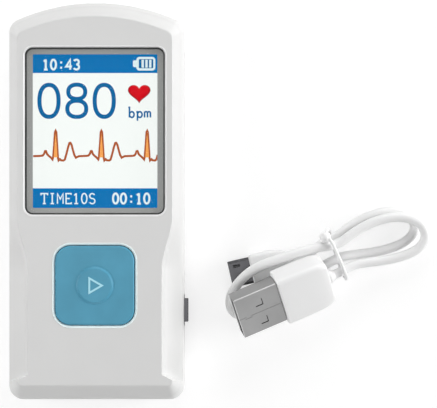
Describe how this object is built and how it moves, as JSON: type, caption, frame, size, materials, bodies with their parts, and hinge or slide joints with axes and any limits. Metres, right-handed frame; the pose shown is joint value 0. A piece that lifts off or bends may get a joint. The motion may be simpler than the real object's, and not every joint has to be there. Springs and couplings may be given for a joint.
{
  "type": "portable ecg monitor",
  "caption": "Pocket ECG monitor: arched white case with side grips, colour display, square key, micro USB port, skin electrodes in the back, and a bundled USB lead.",
  "frame": {"origin": "centre of the flat back, which rests on the surface", "axes": "+Z out of the display, +Y towards the arched top end, +X towards the side with the micro USB port"},
  "size_m": [0.1082, 0.101, 0.0155],
  "materials": {
    "case_white": "fine satin moulded plastic",
    "key_blue": "satin",
    "lens_clear": "clear, printed grey border",
    "panel_glass": "display glass",
    "backlight_white": "matt",
    "steel": "plated sheet",
    "steel_dark": "dark plated sheet",
    "electrode_steel": "polished",
    "foam_black": "matt foam",
    "polyimide": "film",
    "board_green": "solder mask",
    "chip_black": "matt",
    "plastic_black": "matt",
    "plastic_ivory": "matt",
    "battery_foil": "foil pouch",
    "lead_red": "insulation",
    "lead_black": "insulation",
    "brass": "spring strip",
    "cord_white": "soft moulded white"
  },
  "bodies": {
    "monitor": {"front_shell": "case_white", "rear_shell": "case_white", "display_lens": "lens_clear", "lens_gasket": "foam_black", "lcd_panel": "panel_glass", "backlight_unit": "backlight_white", "display_bezel": "steel", "display_flex": "polyimide", "display_foam": "foam_black", "flex_connector": "plastic_ivory", "switch_body": "plastic_black", "main_board": "board_green", "microcontroller": "chip_black", "analog_front_end": "chip_black", "flash_memory": "chip_black", "charge_controller": "chip_black", "quartz_crystal": "steel", "usb_port_shell": "steel_dark", "usb_port_tongue": "plastic_black", "battery_cell": "battery_foil", "battery_pad": "foam_black", "battery_connector": "plastic_ivory", "battery_lead_red": "lead_red", "battery_lead_black": "lead_black", "beeper": "plastic_black", "electrode_lower": "electrode_steel", "electrode_left": "electrode_steel", "electrode_right": "electrode_steel", "electrode_contact_lower": "brass", "electrode_contact_left": "brass", "electrode_contact_right": "brass", "case_screw_foot_left": "steel", "case_screw_foot_right": "steel", "case_screw_top_left": "steel", "case_screw_top_right": "steel", "usb_a_shell": "steel", "usb_a_tongue": "plastic_black", "usb_a_overmold": "cord_white", "micro_b_shell": "steel_dark", "micro_b_tongue": "plastic_black", "micro_b_overmold": "cord_white", "usb_cable": "cord_white", "cable_tie": "cord_white"},
    "key": {"keycap": "key_blue", "switch_plunger": "plastic_ivory"}
  },
  "joints": [
    {"name": "key_press", "type": "slide", "parent": "monitor", "child": "key", "axis": [0, 0, -1], "range_m": [0, 0.0005], "stiffness_N_per_m": 800, "springref_m": -0.0005}
  ]
}
